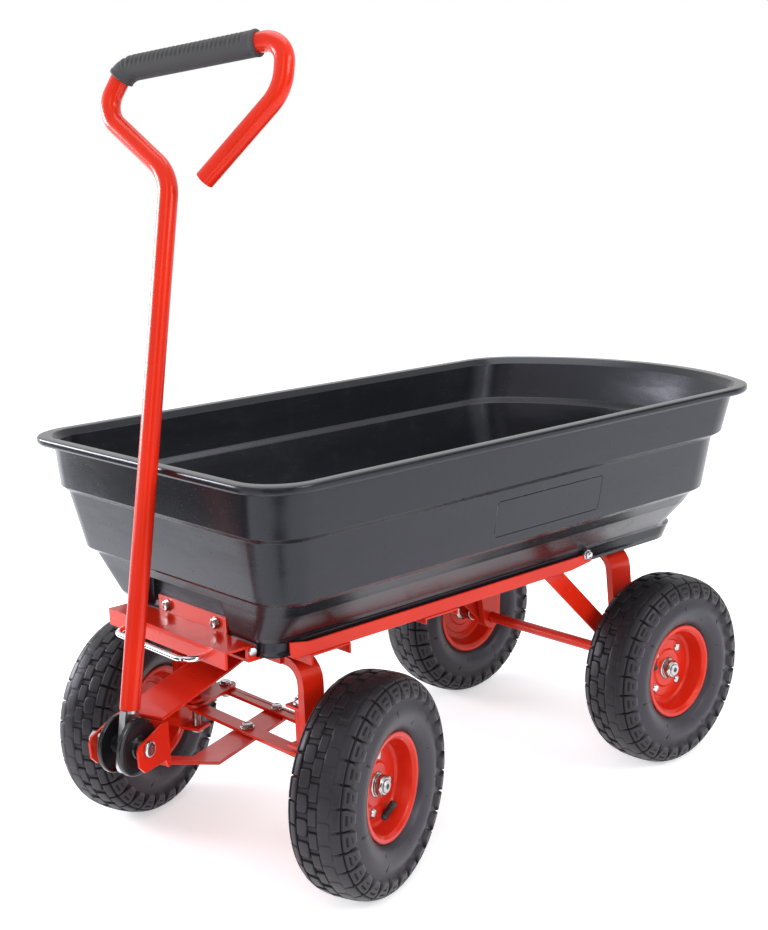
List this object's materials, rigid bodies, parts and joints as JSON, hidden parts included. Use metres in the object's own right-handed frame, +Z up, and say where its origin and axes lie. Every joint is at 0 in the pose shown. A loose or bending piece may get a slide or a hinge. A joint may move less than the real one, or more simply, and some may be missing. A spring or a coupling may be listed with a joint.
{
  "type": "tipping garden cart",
  "caption": "Tipping garden cart: a deep stepped poly tub on a painted steel frame with steered front wheels, pneumatic tyres, a tub latch and a folding loop handle.",
  "frame": {"origin": "middle of the cart's footprint, on the ground that the tyres stand on", "axes": "+X runs rearwards along the tub, +Y to the cart's right side as seen facing forward, +Z up"},
  "size_m": [1.0349, 0.5404, 0.9671],
  "materials": {
    "red_paint": "glossy orange-red powder coat",
    "zinc_plate": "bright zinc plate",
    "tub_plastic": "satin black moulded polyethylene",
    "tyre_rubber": "matt black rubber",
    "grip_foam": "dark grey ribbed soft grip",
    "black_plastic": "glossy black moulding",
    "chrome_rod": "polished chrome plate"
  },
  "bodies": {
    "chassis": {"rail_left": "red_paint", "rail_right": "red_paint", "cross_member_front": "red_paint", "cross_member_rear": "red_paint", "front_arch": "red_paint", "front_beam": "red_paint", "kingpin_left": "zinc_plate", "kingpin_right": "zinc_plate", "strut_left": "red_paint", "strut_right": "red_paint", "rear_axle": "red_paint", "steering_bolt_lower": "zinc_plate", "steering_bolt_upper": "zinc_plate", "latch_bracket": "red_paint", "latch_housing": "red_paint", "latch_bolt_left": "zinc_plate", "latch_bolt_right": "zinc_plate", "axle_nut_rear_left": "zinc_plate", "axle_nut_rear_right": "zinc_plate"},
    "tub": {"tub": "tub_plastic", "rear_arch": "red_paint", "striker_plate": "red_paint", "striker_bolt_left": "zinc_plate", "striker_bolt_right": "zinc_plate", "tub_stud_left": "zinc_plate", "tub_stud_right": "zinc_plate", "arch_bolt_left": "zinc_plate", "arch_bolt_right": "zinc_plate"},
    "latch": {"latch_bolt_plate": "zinc_plate", "release_rod": "chrome_rod"},
    "yoke": {"drawbar": "red_paint", "drawbar_bolt": "zinc_plate", "neck_plate": "red_paint", "hitch_bracket": "red_paint", "handle_bolt": "zinc_plate"},
    "handle": {"handle_tube": "red_paint", "handle_grip": "grip_foam", "handle_tongue": "zinc_plate", "handle_disc_left": "black_plastic", "handle_disc_right": "black_plastic"},
    "tie_rod": {"tie_rod": "red_paint", "tie_rod_bolt_left": "zinc_plate", "tie_rod_bolt_right": "zinc_plate"},
    "knuckle_left": {"knuckle_left": "red_paint", "axle_nut_front_left": "zinc_plate"},
    "knuckle_right": {"knuckle_right": "red_paint", "axle_nut_front_right": "zinc_plate"},
    "wheel_front_left": {"tyre_front_left": "tyre_rubber", "rim_front_left": "red_paint", "hub_front_left": "zinc_plate"},
    "wheel_front_right": {"tyre_front_right": "tyre_rubber", "rim_front_right": "red_paint", "hub_front_right": "zinc_plate"},
    "wheel_rear_left": {"tyre_rear_left": "tyre_rubber", "rim_rear_left": "red_paint", "hub_rear_left": "zinc_plate"},
    "wheel_rear_right": {"tyre_rear_right": "tyre_rubber", "rim_rear_right": "red_paint", "hub_rear_right": "zinc_plate"}
  },
  "joints": [
    {"name": "tub_tip", "type": "hinge", "parent": "chassis", "child": "tub", "pos_m": [0.298, 0, 0.13], "axis": [0, 1, 0], "range_deg": [0, 75]},
    {"name": "latch_slide", "type": "slide", "parent": "chassis", "child": "latch", "axis": [-1, 0, 0], "range_m": [0, 0.006], "stiffness_N_per_m": 1500, "springref_m": -0.01},
    {"name": "steering", "type": "hinge", "parent": "chassis", "child": "yoke", "pos_m": [-0.262, 0, 0.15], "axis": [0, 0, 1], "range_deg": [-42, 2]},
    {"name": "kingpin_turn_left", "type": "hinge", "parent": "chassis", "child": "knuckle_left", "pos_m": [-0.262, -0.112, 0.14], "axis": [0, 0, 1], "range_deg": [-42, 2]},
    {"name": "kingpin_turn_right", "type": "hinge", "parent": "chassis", "child": "knuckle_right", "pos_m": [-0.262, 0.112, 0.14], "axis": [0, 0, 1], "range_deg": [-42, 2]},
    {"name": "tie_rod_turn", "type": "hinge", "parent": "yoke", "child": "tie_rod", "pos_m": [-0.1981, 0.02326, 0.15], "axis": [0, 0, 1], "range_deg": [-2, 42]},
    {"name": "handle_fold", "type": "hinge", "parent": "yoke", "child": "handle", "pos_m": [-0.48189, -0.08003, 0.222], "axis": [0.342, -0.9397, 0], "range_deg": [0, 115]},
    {"name": "wheel_spin_front_left", "type": "hinge", "parent": "knuckle_left", "child": "wheel_front_left", "pos_m": [-0.2319, -0.19469, 0.13], "axis": [-0.342, 0.9397, 0], "continuous": true},
    {"name": "wheel_spin_front_right", "type": "hinge", "parent": "knuckle_right", "child": "wheel_front_right", "pos_m": [-0.2921, 0.19469, 0.13], "axis": [-0.342, 0.9397, 0], "continuous": true},
    {"name": "wheel_spin_rear_left", "type": "hinge", "parent": "chassis", "child": "wheel_rear_left", "pos_m": [0.298, -0.2, 0.13], "axis": [0, 1, 0], "continuous": true},
    {"name": "wheel_spin_rear_right", "type": "hinge", "parent": "chassis", "child": "wheel_rear_right", "pos_m": [0.298, 0.2, 0.13], "axis": [0, 1, 0], "continuous": true}
  ],
  "couplings": [
    {"joint": "kingpin_turn_left", "follows": "steering", "ratio": 1},
    {"joint": "kingpin_turn_right", "follows": "steering", "ratio": 1},
    {"joint": "tie_rod_turn", "follows": "steering", "ratio": -1}
  ]
}
